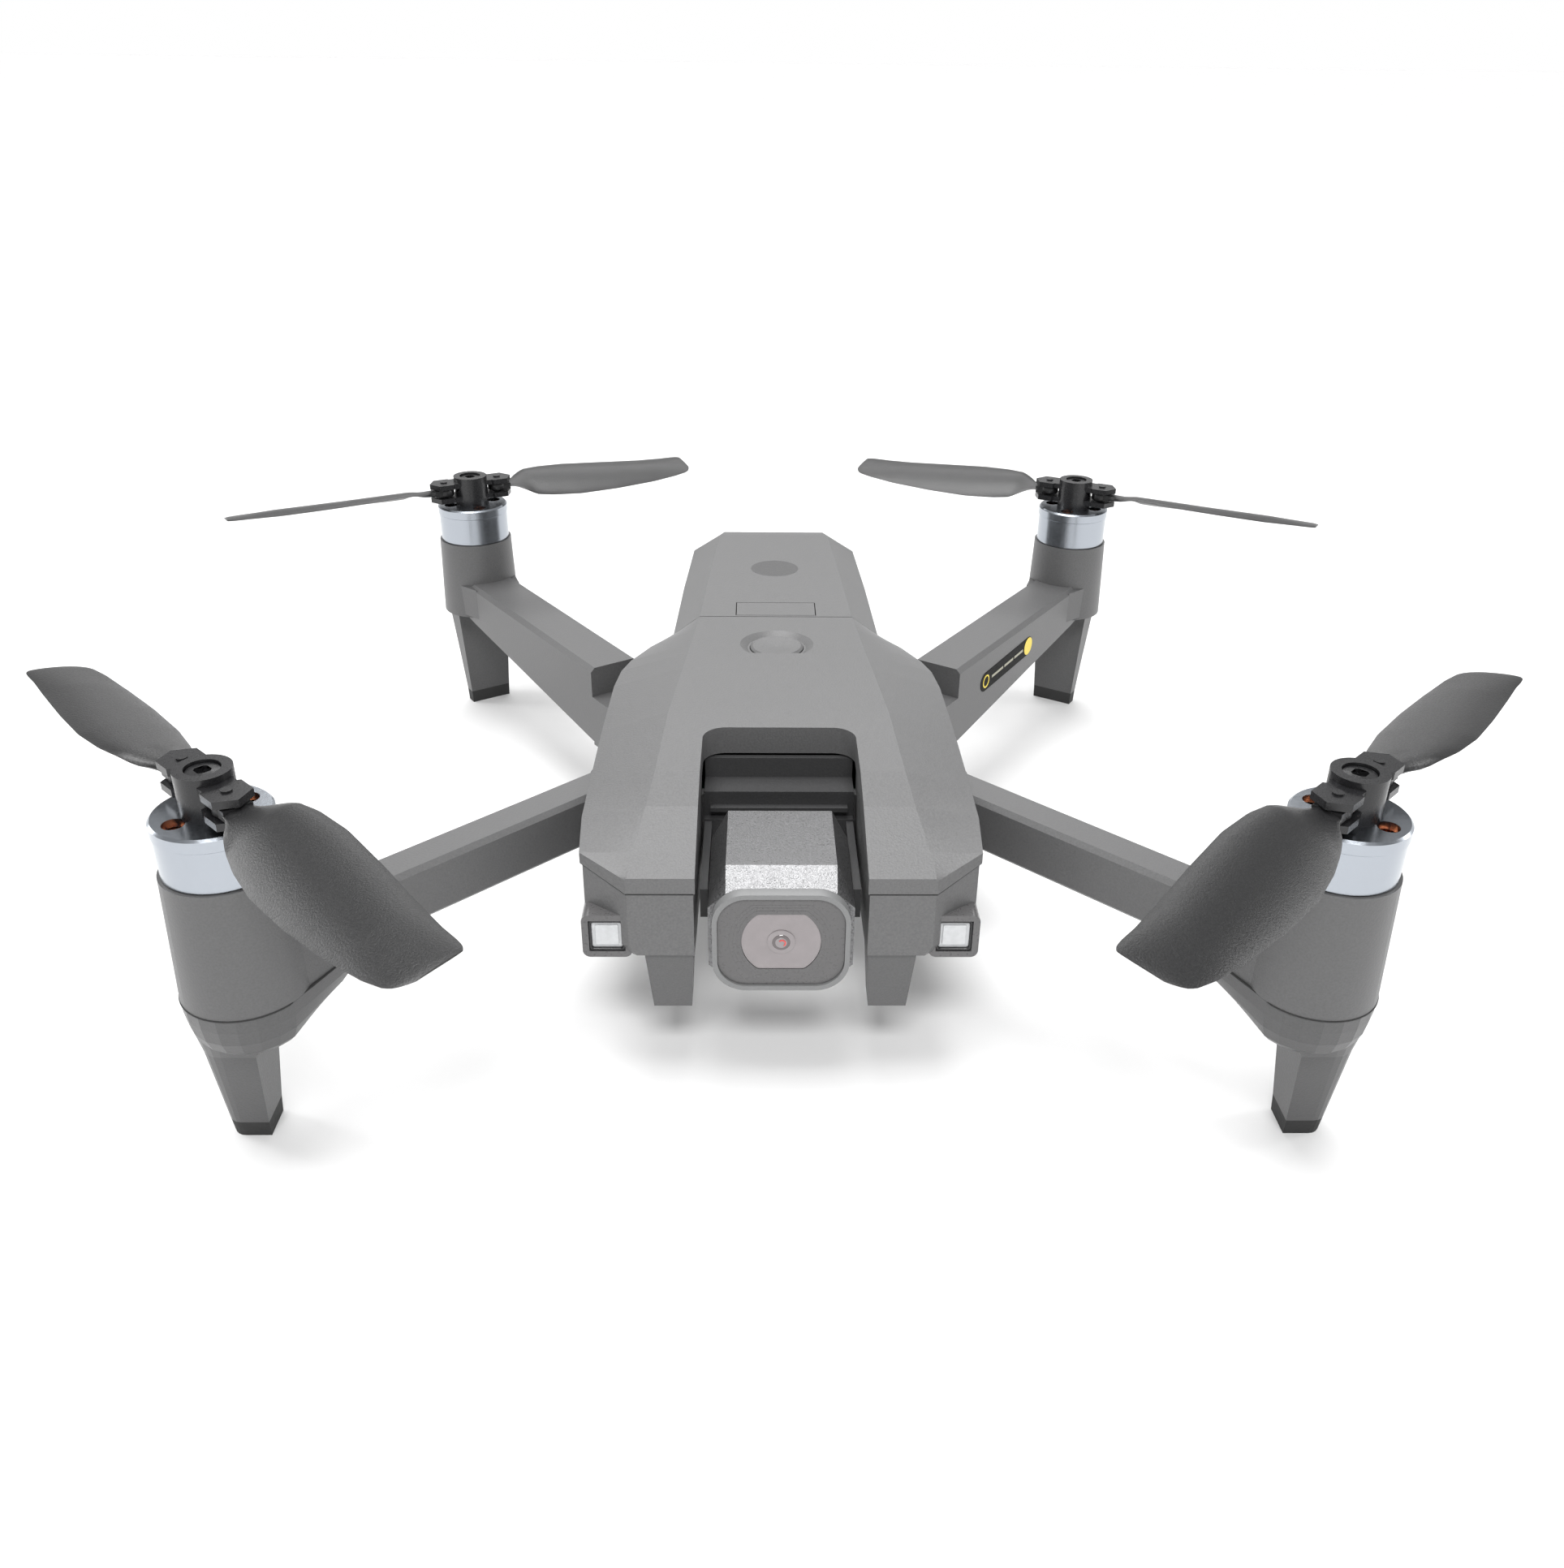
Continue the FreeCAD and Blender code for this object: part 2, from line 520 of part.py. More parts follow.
def make_motor(end):
    """One right-hand motor with its hub and two blades, and their left-hand twins."""
    x = f"{end}_motor_x"
    y = f"{end}_motor_y"
    top = f"{end}_can_top"
    angle = size(f"{end}_blade_angle")
    stator = turned(f"{end}_stator", [("shaft_radius + shaft_clearance", "0"), ("10.6", "0"), ("10.6", "1.4"),
                                      ("stator_radius", "1.8"), ("stator_radius", "9.6"),
                                      ("shaft_radius + shaft_clearance", "9.6")])
    place(stator, x, y, f"{top} - can_height - can_gap")
    bell = turned(f"{end}_bell", [
        ("0", "1.2 - can_height"), ("shaft_radius", "1.2 - can_height"), ("shaft_radius", "-1.8"),
        ("can_radius - can_wall", "-1.8"), ("can_radius - can_wall", "0 - can_height"),
        ("can_radius", "0 - can_height"), ("can_radius", "-3.2"), ("can_radius + lid_band", "-3"),
        ("can_radius + lid_band", "-0.5"), ("can_radius - 0.3", "-0.001"), ("0", "-0.001")])
    doc.recompute()
    ring_of_holes(bell, 2.3, 7.9, 4, 4)
    place(bell, x, y, top)
    turn(bell, UP, angle)
    hub_core = turned(f"{end}_hub_core", [("0", "0"), ("hub_radius", "0"), ("hub_radius", "hub_height"),
                                          ("screw_radius", "hub_height"),
                                          ("screw_radius", "hub_height - screw_depth"),
                                          ("0", "hub_height - screw_depth")])
    pieces = [hub_core]
    for sign in (-1, 1):
        spot = f"{sign} * hinge_offset"
        for level in ("lug_low", "lug_high"):
            lug = bind(doc.addObject("Part::Prism", "lug"), Circumradius="lug_radius", Height="lug_thick")
            lug.Polygon = 6
            pieces.append(place(lug, spot, "0", level))
        pieces.append(cylinder(spot, "0", "lug_low - 0.4", "hinge_pin_radius", "lug_high - lug_low + lug_thick + 0.8",
                               "blade_pin"))
    for level in ("lug_low", "lug_high"):
        pieces.append(box("-hinge_offset", "-3.6", level, "2 * hinge_offset", "7.2", "lug_thick", "lug_web"))
    hub = fuse(f"{end}_hub_parts", *pieces)
    place(hub, x, y, top)
    turn(hub, UP, angle)
    made = {"motor_stator": node(stator, f"{end}_right_motor_stator"),
            "motor_bell": node(bell, f"{end}_right_motor_bell"),
            "prop_hub": node(hub, f"{end}_right_prop_hub")}
    spot = Vector(size(x), size(y), size(top))
    for name, swing in (("blade_a", 0), ("blade_b", 180)):
        right = feature(f"{end}_right_{name}", make_blade_for_right(angle + swing, spot))
        made[name] = right
    for name, item in made.items():
        mirrored(item, f"{end}_left_{name}")


def make_blade_for_right(angle, spot):
    """Right-hand propellers turn clockwise, so their blades are mirror images about their own length."""
    solid = make_blade(0, Vector())
    solid = solid.mirror(Vector(), Vector(0, 1, 0))
    solid.rotate(Vector(), UP, angle)
    solid.translate(spot)
    return solid


make_motor("front")
make_motor("rear")

# ---------------------------------------------------------------- arms and legs


def make_front_arm():
    pivot = Vector(size("front_pivot_x"), size("front_pivot_y"), 0)
    motor = Vector(size("front_motor_x"), size("front_motor_y"), 0)
    along = motor - pivot
    angle = -(along.getAngle(Vector(1, 0, 0))) * 57.29578
    reach = along.Length
    low = size("front_arm_low")
    high = size("front_arm_high")
    half = size("front_arm_width") / 2
    edge = 1.2
    sections = []
    for x in (0, reach):
        sections.append([(x, -half, low + edge), (x, -half + edge, low), (x, half - edge, low),
                         (x, half, low + edge), (x, half, high - edge), (x, half - edge, high),
                         (x, -half + edge, high), (x, -half, high - edge)])
    beam = loft(sections)
    eye = Part.makeCylinder(size("front_eye_radius"), high - low, Vector(0, 0, low))
    seam = size("pod_seam")
    top = size("front_can_top") - size("can_height") - size("can_gap")
    wide = size("front_pod_low_radius")
    pod = Part.makeCone(wide, size("front_pod_top_radius"), top - seam, Vector(reach, 0, seam))
    tip = reach - size("fairing_reach")
    fairing = loft([
        [(tip, -half, seam), (tip, half, seam), (reach, wide, seam), (reach, -wide, seam)],
        [(tip, -half, high - 0.6), (tip, half, high - 0.6), (reach, wide - 0.9, high - 0.6),
         (reach, 0.9 - wide, high - 0.6)]])
    solid = beam.fuse([eye, pod, fairing])
    solid = solid.cut(Part.makeCylinder(size("front_pin_radius") + size("pin_clearance"), 40, Vector(0, 0, 30)))
    solid.rotate(Vector(), UP, angle)
    solid.translate(pivot)
    return solid, angle


# The front pod's lower cap: height above the ground, pod radius, reach towards the fuselage.
FRONT_CAP = [(43.9, 13.9, 24.0), (40.5, 13.7, 22.4), (37.0, 13.2, 18.8), (34.0, 12.0, 14.0), (32.2, 10.2, 9.6),
             (31.4, 8.2, 7.2)]
# Front leg slices: height, inner x, outer x, front y, rear y, front corner radius, rear corner radius.
FRONT_LEG = [(0.0, 118.0, 127.2, -121.2, -112.8, 3.2, 2.0), (4.5, 117.7, 127.5, -121.9, -112.6, 3.4, 2.2),
             (27.0, 115.4, 128.6, -126.4, -111.6, 5.5, 5.0), (33.0, 112.0, 128.9, -129.0, -111.5, 7.0, 7.0),
             (38.0, 108.5, 129.2, -131.3, -111.0, 9.0, 9.0)]


def cap_section(height, radius, reach):
    """A teardrop: round under the motor, drawn out to a blunt tip along the arm."""
    half = size("front_arm_width") / 2 * (0.5 + 0.5 * reach / size("fairing_reach"))
    points = [(-reach, half, height), (-reach, -half, height)]
    for step in range(13):
        swing = radians(-105 + 17.5 * step)
        points.append((radius * cos(swing), radius * sin(swing), height))
    return points


def make_front_leg(angle):
    """The pod's lower cap, rounded up to the arm, and the leg that stands under its outer side."""
    cap = loft([cap_section(*level) for level in FRONT_CAP])
    cap.rotate(Vector(), UP, angle)
    cap.translate(Vector(size("front_motor_x"), size("front_motor_y"), 0))
    return cap.fuse(loft([leg_section(*level) for level in FRONT_LEG[1:]]))


def leg_section(height, inner, outer, front, rear, front_round, rear_round):
    """One slice of the front leg: square on its inner side, rounded on its outer corners."""
    points = [(inner, rear, height), (inner, front, height)]
    for step in range(6):
        swing = radians(-90 + 18 * step)
        points.append((outer - front_round + front_round * cos(swing),
                       front + front_round + front_round * sin(swing), height))
    for step in range(4):
        swing = radians(30 * step)
        points.append((outer - rear_round + rear_round * cos(swing),
                       rear - rear_round + rear_round * sin(swing), height))
    return points


arm, front_angle = make_front_arm()
front_arm = feature("front_right_arm", arm)
front_leg = feature("front_right_leg", make_front_leg(front_angle).cut(arm))
front_pad = feature("front_right_foot_pad", loft([leg_section(*level) for level in FRONT_LEG[:2]]))


def make_rear_arm():
    motor = Vector(size("rear_motor_x"), size("rear_motor_y"), 0)
    angle = 55.7
    half = size("rear_arm_width") / 2
    top = size("rear_arm_high")
    low = size("rear_arm_low")
    pod_low = size("rear_arm_pod_low")
    edge = 1.4
    root = -120.0
    shoulder = -103.0
    sections = []
    for x, z_low, z_high in ((shoulder, low + 1.0, top), (-12.0, pod_low, top), (0.0, pod_low + 2, top)):
        sections.append([(x, -half, z_low), (x, half, z_low), (x, half, z_high - edge), (x, half - edge, z_high),
                         (x, -half + edge, z_high), (x, -half, z_high - edge)])
    beam = loft(sections)
    foot = loft([[(x, -half, low), (x, half, low), (x, half, 42.0), (x, -half, 42.0)]
                 for x in (root, shoulder + 0.5)])
    pod_top = size("rear_can_top") - size("can_height") - size("can_gap")
    wide = size("rear_pod_radius")
    pod = Part.makeCone(wide + 0.8, wide, pod_top - size("rear_pod_low"), Vector(0, 0, size("rear_pod_low")))
    gusset = loft([[(-16, -half, 40), (-16, half, 40), (0, wide, 40), (0, -wide, 40)],
                   [(-16, -half, top - 0.8), (-16, half, top - 0.8), (0, wide, top - 0.8), (0, -wide, top - 0.8)]])
    solid = beam.fuse([foot, pod, gusset])
    solid.rotate(Vector(), UP, angle)
    solid.translate(motor)
    barrel = rear_pin(1, -6.4, 12, size("rear_barrel_radius"))
    solid = solid.fuse(barrel)
    return solid.cut(rear_pin(1, -8, 14.6, size("rear_pin_radius") + size("pin_clearance")))


# Rear leg slices across the arm: height, half-width, thickness behind the front face.
REAR_LEG = [(0.0, 7.4, 5.6), (4.5, 7.6, 6.0), (20.0, 8.6, 8.4), (38.9, 9.8, 12.0)]


def rear_leg_column(first, last):
    sections = []
    for z, half, thick in REAR_LEG[first:last]:
        sections.append([(0.0, -half, z), (0.0, half, z), (thick * 0.7, half, z), (thick, half - thick * 0.3, z),
                         (thick, -half + thick * 0.3, z), (thick * 0.7, -half, z)])
    solid = loft(sections)
    solid.rotate(Vector(), UP, 57.0)
    solid.translate(Vector(size("rear_motor_x") + 0.2, size("rear_motor_y") + 1.2, 0))
    return solid


rear_arm = feature("rear_right_arm", make_rear_arm())
rear_leg = feature("rear_right_leg", rear_leg_column(1, 4))
rear_pad = feature("rear_right_foot_pad", rear_leg_column(0, 2))
for right in (front_arm, front_leg, front_pad, rear_arm, rear_leg, rear_pad):
    mirrored(right, right.Label.replace("right", "left"))

# ---------------------------------------------------------------- checks and files

doc.recompute()
for item in doc.Objects:
    if "Invalid" in item.State or "Error" in item.State:
        raise SystemExit(f"{item.Name} {item.Label} failed: {item.State}")
os.makedirs("parts", exist_ok=True)
whole = FreeCAD.BoundBox()
for item in NODES:
    shape = item.Shape
    if shape.isNull() or not shape.isValid() or not shape.Solids:
        raise SystemExit(f"{item.Label} has no valid solid")
    whole.add(shape.BoundBox)
    shape.exportStep(f"parts/{item.Label}.step")
print(len(NODES), "nodes, box", whole)
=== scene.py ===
import json
import math

import bmesh
import bpy
from mathutils import Matrix, Vector


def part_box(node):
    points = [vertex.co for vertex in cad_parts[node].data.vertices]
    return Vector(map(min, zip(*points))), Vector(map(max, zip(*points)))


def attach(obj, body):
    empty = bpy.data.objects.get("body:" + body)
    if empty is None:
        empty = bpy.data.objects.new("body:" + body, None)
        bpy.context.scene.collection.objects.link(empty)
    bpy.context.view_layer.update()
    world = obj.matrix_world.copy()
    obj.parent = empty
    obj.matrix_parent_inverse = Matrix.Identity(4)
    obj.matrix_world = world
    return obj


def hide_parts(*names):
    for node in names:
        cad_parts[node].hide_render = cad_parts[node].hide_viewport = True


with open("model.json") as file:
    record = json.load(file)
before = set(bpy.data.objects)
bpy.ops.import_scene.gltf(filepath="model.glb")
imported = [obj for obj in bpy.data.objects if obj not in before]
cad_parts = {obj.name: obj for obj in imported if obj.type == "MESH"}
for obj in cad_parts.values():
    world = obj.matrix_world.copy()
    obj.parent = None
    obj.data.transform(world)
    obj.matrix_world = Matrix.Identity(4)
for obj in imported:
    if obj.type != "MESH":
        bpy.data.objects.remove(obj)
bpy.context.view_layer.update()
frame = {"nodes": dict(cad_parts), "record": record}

MM = 0.001
X_AXIS = (1, 0, 0)
Z_AXIS = (0, 0, 1)
CORNERS = [f"{end}_{side}" for end in ("front", "rear") for side in ("right", "left")]


# ------------------------------------------------------------------ materials

# Depth that every bump node works to, in metres.
BUMP_DEPTH = 0.0002


def new_material(name, color, roughness, metallic=0.0, **sockets):
    """A principled material whose even values sit on the shader's own sockets."""
    material = bpy.data.materials.new(name)
    material.use_nodes = True
    shader = material.node_tree.nodes["Principled BSDF"]
    shader.inputs["Base Color"].default_value = (*color, 1.0)
    shader.inputs["Roughness"].default_value = roughness
    shader.inputs["Metallic"].default_value = metallic
    for socket, value in sockets.items():
        shader.inputs[socket.replace("_", " ")].default_value = value
    return material, shader


def add(material, kind, **values):
    """A new shader node; each value sets the node's own setting or an input socket."""
    made = material.node_tree.nodes.new(kind)
    for name, value in values.items():
        if hasattr(made, name):
            setattr(made, name, value)
        else:
            made.inputs[name.replace("_", " ")].default_value = value
    return made


def object_point(material):
    """Rest coordinates of the object."""
    return add(material, "ShaderNodeTexCoord").outputs["Object"]


def spread_of(material, noise, low, high):
    """The noise's middle range, mapped to low and high."""
    ramp = add(material, "ShaderNodeMapRange")
    for socket, value in (("From Min", 0.3), ("From Max", 0.7), ("To Min", low), ("To Max", high)):
        ramp.inputs[socket].default_value = value
    material.node_tree.links.new(noise.outputs["Fac"], ramp.inputs["Value"])
    return ramp.outputs["Result"]


def grain(material, shader, scale, bump, shade=0.0, rough=0.0, detail=4.0):
    """Fine grain: bump, with optional tone and gloss variation from the same noise."""
    links = material.node_tree.links
    noise = add(material, "ShaderNodeTexNoise", Scale=scale, Detail=detail)
    links.new(object_point(material), noise.inputs["Vector"])
    bumped = add(material, "ShaderNodeBump", Strength=bump, Distance=BUMP_DEPTH)
    links.new(noise.outputs["Fac"], bumped.inputs["Height"])
    links.new(bumped.outputs["Normal"], shader.inputs["Normal"])
    if shade:
        tone = spread_of(material, noise, 1.0 - shade, 1.0 + shade)
        tint = add(material, "ShaderNodeVectorMath", operation="SCALE")
        tint.inputs[0].default_value = shader.inputs["Base Color"].default_value[:3]
        links.new(tone, tint.inputs["Scale"])
        links.new(tint.outputs["Vector"], shader.inputs["Base Color"])
    if rough:
        middle = shader.inputs["Roughness"].default_value
        links.new(spread_of(material, noise, middle - rough, middle + rough), shader.inputs["Roughness"])


def moulded(name, color, roughness, scale=1500.0, bump=0.25, shade=0.06, **sockets):
    """Spark-eroded moulded plastic."""
    material, shader = new_material(name, color, roughness, **sockets)
    grain(material, shader, scale, bump, shade=shade, rough=0.05)
    return material


def grained(name, color, roughness, scale, bump, shade, rough=0.0, detail=4.0, **sockets):
    """Metal, glass or lacquer with a grain of its own."""
    material, shader = new_material(name, color, roughness, **sockets)
    grain(material, shader, scale, bump, shade=shade, rough=rough, detail=detail)
    return material


def wound_copper():
    """Enamelled wire: fine parallel ridges."""
    copper, shader = new_material("enamelled_copper", (0.62, 0.19, 0.075), 0.30, metallic=0.9)
    links = copper.node_tree.links
    wires = add(copper, "ShaderNodeTexWave", Scale=420.0, Distortion=1.0)
    links.new(object_point(copper), wires.inputs["Vector"])
    ridges = add(copper, "ShaderNodeBump", Strength=0.6, Distance=BUMP_DEPTH)
    links.new(wires.outputs["Fac"], ridges.inputs["Height"])
    links.new(ridges.outputs["Normal"], shader.inputs["Normal"])
    return copper


PAINT = {
    "shell": moulded("shell_plastic", (0.112, 0.112, 0.113), 0.42, scale=1900.0, bump=0.40, shade=0.12),
    "arm": moulded("arm_plastic", (0.092, 0.092, 0.093), 0.43, scale=2100.0, bump=0.30, shade=0.10),
    # Leg plastic, darker than the arm plastic: its own colour plus painted shade of the shaded undersides.
    "leg": moulded("leg_plastic_painted_shade", (0.074, 0.074, 0.075), 0.40, scale=2100.0, bump=0.26, shade=0.10),
    "prop": moulded("propeller_plastic", (0.010, 0.010, 0.0105), 0.36, scale=2600.0, bump=0.34, shade=0.12),
    "hub": moulded("hub_plastic", (0.010, 0.010, 0.011), 0.30, scale=1700.0, bump=0.08, shade=0.05),
    "dark": moulded("bay_plastic", (0.040, 0.040, 0.041), 0.50, scale=1800.0, bump=0.2),
    "rubber": moulded("foot_rubber", (0.018, 0.018, 0.018), 0.70, scale=900.0, bump=0.5, shade=0.12),
    "rim": moulded("lens_frame_plastic", (0.185, 0.187, 0.188), 0.38, scale=1700.0, bump=0.10, shade=0.04),
    "panel": moulded("lens_panel_plastic", (0.105, 0.103, 0.104), 0.30, scale=1300.0, bump=0.06, shade=0.04),
    "lamp_trim": moulded("lamp_trim", (0.012, 0.012, 0.013), 0.30, bump=0.05),
    "board": moulded("solder_mask", (0.01, 0.09, 0.035), 0.35, scale=700.0, bump=0.1),
    "wrap": moulded("cell_wrap", (0.03, 0.05, 0.16), 0.25, scale=400.0, bump=0.15),
    "badge": moulded("badge_grey", (0.062, 0.062, 0.063), 0.36, scale=1900.0, bump=0.12),
    "label_black": moulded("label_black", (0.006, 0.006, 0.006), 0.62, scale=1200.0, bump=0.06,
                           Specular_IOR_Level=0.12),
    "label_grey": moulded("label_grey", (0.30, 0.29, 0.22), 0.45, scale=1200.0, bump=0.06, shade=0.04),
    # Painted shade: a dark strip standing in for the shadow in the gap where two parts meet.
    "seam": moulded("painted_seam_shadow", (0.012, 0.012, 0.012), 0.7, scale=1200.0, bump=0.06, shade=0.04),
    "label_yellow": moulded("label_yellow", (0.72, 0.56, 0.045), 0.40, scale=1200.0, bump=0.06, shade=0.04),
    "camera": grained("camera_metallic_paint", (0.17, 0.17, 0.173), 0.34, 2400.0, 0.5, 0.30, rough=0.08,
                      detail=2.0, metallic=0.75),
    "can": grained("satin_aluminium", (0.36, 0.385, 0.42), 0.24, 1100.0, 0.03, 0.02, rough=0.03,
                   metallic=1.0),
    "copper": wound_copper(),
    "steel": grained("plain_steel", (0.42, 0.42, 0.43), 0.30, 900.0, 0.10, 0.08, metallic=1.0),
    "glass": grained("coated_lens", (0.235, 0.212, 0.216), 0.16, 260.0, 0.015, 0.05, detail=2.0,
                     Coat_Weight=0.7, Coat_Roughness=0.04),
    "pupil": grained("lens_pupil", (0.085, 0.070, 0.072), 0.10, 300.0, 0.02, 0.08, Coat_Weight=1.0,
                     Coat_Roughness=0.02),
    # Painted reflection: the red glint of the lens coating, painted as colour on a small arc.
    "glint": grained("painted_red_glint", (0.60, 0.050, 0.045), 0.20, 900.0, 0.02, 0.08, Coat_Weight=1.0),
    "lamp": grained("lamp_diffuser", (0.52, 0.53, 0.54), 0.22, 650.0, 0.12, 0.07, Coat_Weight=0.6,
                    Coat_Roughness=0.08),
    "sensor": grained("sensor_window", (0.012, 0.012, 0.016), 0.08, 400.0, 0.02, 0.1, Coat_Weight=1.0),
}

NODE_PAINT = {
    "upper_shell": "shell", "lower_shell": "shell", "battery_case": "shell", "battery_cover": "shell",
    "battery_latch": "shell", "power_button": "shell", "nose_feet": "arm", "gimbal_tray": "dark",
    "gimbal_bracket": "dark", "headlight_bezels": "panel", "headlight_lenses": "lamp", "main_board": "board",
    "gps_module": "dark", "battery_contacts": "dark", "battery_cells": "wrap",
    "belly_sensor_window": "sensor", "shell_screws": "steel", "front_hinge_pins": "steel",
    "rear_hinge_pins": "steel", "camera_housing": "camera", "lens_bezel": "rim", "lens_glass": "glass",
    "lens_barrel": "dark", "image_sensor": "board",
}
for corner in CORNERS:
    NODE_PAINT.update({f"{corner}_arm": "arm", f"{corner}_leg": "leg", f"{corner}_foot_pad": "rubber",
                       f"{corner}_motor_stator": "lamp_trim", f"{corner}_motor_bell": "can",
                       f"{corner}_prop_hub": "hub", f"{corner}_blade_a": "prop", f"{corner}_blade_b": "prop"})

# Edge rounding of the carried-over shells, in millimetres.
ROUND = {"upper_shell": 0.55, "lower_shell": 0.7, "battery_case": 0.8, "battery_cover": 0.6, "nose_feet": 0.9,
         "gimbal_tray": 0.35, "gimbal_bracket": 0.35, "headlight_bezels": 0.4, "headlight_lenses": 0.3,
         "camera_housing": 1.1, "lens_bezel": 0.35, "battery_latch": 0.3, "power_button": 0.3}
for corner in CORNERS:
    ROUND.update({f"{corner}_arm": 0.5, f"{corner}_leg": 0.7, f"{corner}_foot_pad": 0.5,
                  f"{corner}_motor_bell": 0.25, f"{corner}_prop_hub": 0.22})


def round_edges(piece, width):
    """A bevel on the sharp edges, width in millimetres, shaded from the flat faces."""
    bevel = piece.modifiers.new("rounded_edges", "BEVEL")
    bevel.width = width * MM
    bevel.segments = 3
    bevel.limit_method = "ANGLE"
    bevel.angle_limit = math.radians(28)
    bevel.use_clamp_overlap = True
    bevel.harden_normals = True


def paint_nodes():
    """Material and edge rounding of every CAD node."""
    for name, node in frame["nodes"].items():
        node.data.materials.clear()
        node.data.materials.append(PAINT[NODE_PAINT[name]])
        if name in ROUND:
            for face in node.data.polygons:
                face.use_smooth = True
            round_edges(node, ROUND[name])


# ------------------------------------------------------------------ mesh helpers

def ring_faces(rows, count, closed=True):
    """Quads from each ring of points to the next, and if closed from the last back to the first."""
    faces = []
    for row in range(rows if closed else rows - 1):
        below = (row + 1) % rows
        for step in range(count):
            after = (step + 1) % count
            faces.append((row * count + step, row * count + after,
                          below * count + after, below * count + step))
    return faces


def shifted(faces, start):
    """Faces whose points come after start earlier ones."""
    return [tuple(index + start for index in face) for face in faces]


def circle(radius, count):
    """Points of a circle about the origin of its plane."""
    return [(radius * math.cos(2 * math.pi * step / count), radius * math.sin(2 * math.pi * step / count))
            for step in range(count)]


def add_piece(name, data, paint, body):
    """A painted piece from finished mesh data, riding on its body."""
    piece = bpy.data.objects.new(name, data)
    bpy.context.scene.collection.objects.link(piece)
    data.materials.append(PAINT[paint])
    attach(piece, body)
    return piece


def mesh_piece(name, points, faces, paint, body, slot, smooth=True):
    """A piece from points in metres and faces, with its normals made consistent."""
    data = bpy.data.meshes.new(name)
    data.from_pydata([tuple(point) for point in points], [], faces)
    data.validate()
    work = bmesh.new()
    work.from_mesh(data)
    bmesh.ops.remove_doubles(work, verts=work.verts, dist=1e-7)
    bmesh.ops.recalc_face_normals(work, faces=work.faces)
    work.to_mesh(data)
    work.free()
    for face in data.polygons:
        face.use_smooth = smooth
    return add_piece(name, data, paint, body)


def turned_mesh(profile, place, axis, count=64):
    """Points and faces of a profile of (radius, height) turned about an axis through place."""
    up = Vector(axis).normalized()
    side = up.orthogonal().normalized()
    across = up.cross(side)
    points = []
    for radius, height in profile:
        for step in range(count):
            angle = 2 * math.pi * step / count
            spoke = side * math.cos(angle) + across * math.sin(angle)
            points.append(Vector(place) + up * height + spoke * radius)
    faces = ring_faces(len(profile), count, closed=False)
    faces.append(tuple(range(count)))
    faces.append(tuple((len(profile) - 1) * count + step for step in range(count)))
    return points, faces


def turned_piece(name, profile, place, axis, paint, body, slot, count=64):
    """A piece turned from a profile in millimetres."""
    points, faces = turned_mesh([(r * MM, z * MM) for r, z in profile], place, axis, count)
    soften(mesh_piece(name, points, faces, paint, body, slot))


def soften(piece, angle=35):
    """Smooth shading that keeps edges sharper than the angle."""
    for edge in piece.data.edges:
        edge.use_edge_sharp = False
    work = bmesh.new()
    work.from_mesh(piece.data)
    for edge in work.edges:
        if len(edge.link_faces) == 2 and edge.calc_face_angle(0) > math.radians(angle):
            edge.smooth = False
    work.to_mesh(piece.data)
    work.free()


def prism_piece(name, outline, origin, across, up, low, high, paint, body, slot):
    """An outline in the across/up plane, given in millimetres, raised along the plane's normal."""
    normal = Vector(across).cross(Vector(up)).normalized()
    points = []
    for level in (low, high):
        for a, b in outline:
            points.append(Vector(origin) + Vector(across) * a * MM + Vector(up) * b * MM
                          + normal * level * MM)
    count = len(outline)
    faces = [tuple(range(count)), tuple(range(count, 2 * count))] + ring_faces(2, count, closed=False)
    piece = mesh_piece(name, points, faces, paint, body, slot)
    soften(piece)
    return piece


def rounded_box(half_wide, half_high, radius, steps=8):
    """Outline of a rectangle with round corners."""
    outline = []
    for index, (x, y) in enumerate(((1, 1), (-1, 1), (-1, -1), (1, -1))):
        for step in range(steps + 1):
            angle = math.radians(90 * index + 90 * step / steps)
            outline.append((x * (half_wide - radius) + radius * math.cos(angle),
                            y * (half_high - radius) + radius * math.sin(angle)))
    return outline


# ------------------------------------------------------------------ propellers

def joint_place(name):
    joint = next(item for item in frame["record"]["behaviour"]["joints"] if item["name"] == name)
    return Vector(joint["pos_m"])


# Blade stations: radius, leading half-chord, trailing half-chord, thickness, all in millimetres.
BLADE = [(13.2, 3.3, 3.2, 2.6), (15.5, 3.6, 3.4, 2.4), (18.5, 6.8, 6.0, 2.1), (22.0, 8.6, 7.9, 1.9),
         (28.0, 9.7, 9.7, 1.7), (38.0, 9.9, 11.5, 1.5), (52.0, 8.4, 12.1, 1.3), (66.0, 6.5, 11.7, 1.1),
         (76.0, 5.2, 10.8, 1.0), (80.5, 4.9, 9.8, 0.9), (82.0, 4.7, 9.0, 0.85), (83.2, 4.4, 7.5, 0.8),
         (84.0, 3.8, 5.6, 0.6)]
# Pitch in degrees at the two radii of BLADE_TWIST, and the share of the chord that the camber takes.
BLADE_PITCH = (20.0, 9.0)
BLADE_TWIST = (15.0, 84.6)
BLADE_CAMBER = 0.075
# Start and length along the blade, in millimetres, of the climb of pitch, that of camber, and its fade.
PITCH_CLIMB = (14.0, 8.0)
CAMBER_CLIMB = (15.0, 8.0)
CAMBER_FADE = (68.0, 16.0)
BLADE_ROWS = 56
BLADE_RING = 18


def climb(value, start, length):
    """0 up to start, then in a straight line to 1 a length further on."""
    return min(1.0, max(0.0, (value - start) / length))


def blade_values(radius):
    """Leading half-chord, trailing half-chord and thickness at a radius, straight between the stations."""
    for low, high in zip(BLADE, BLADE[1:]):
        if radius <= high[0]:
            share = (radius - low[0]) / (high[0] - low[0])
            return [a + (b - a) * share for a, b in zip(low[1:], high[1:])]
    return list(BLADE[-1][1:])


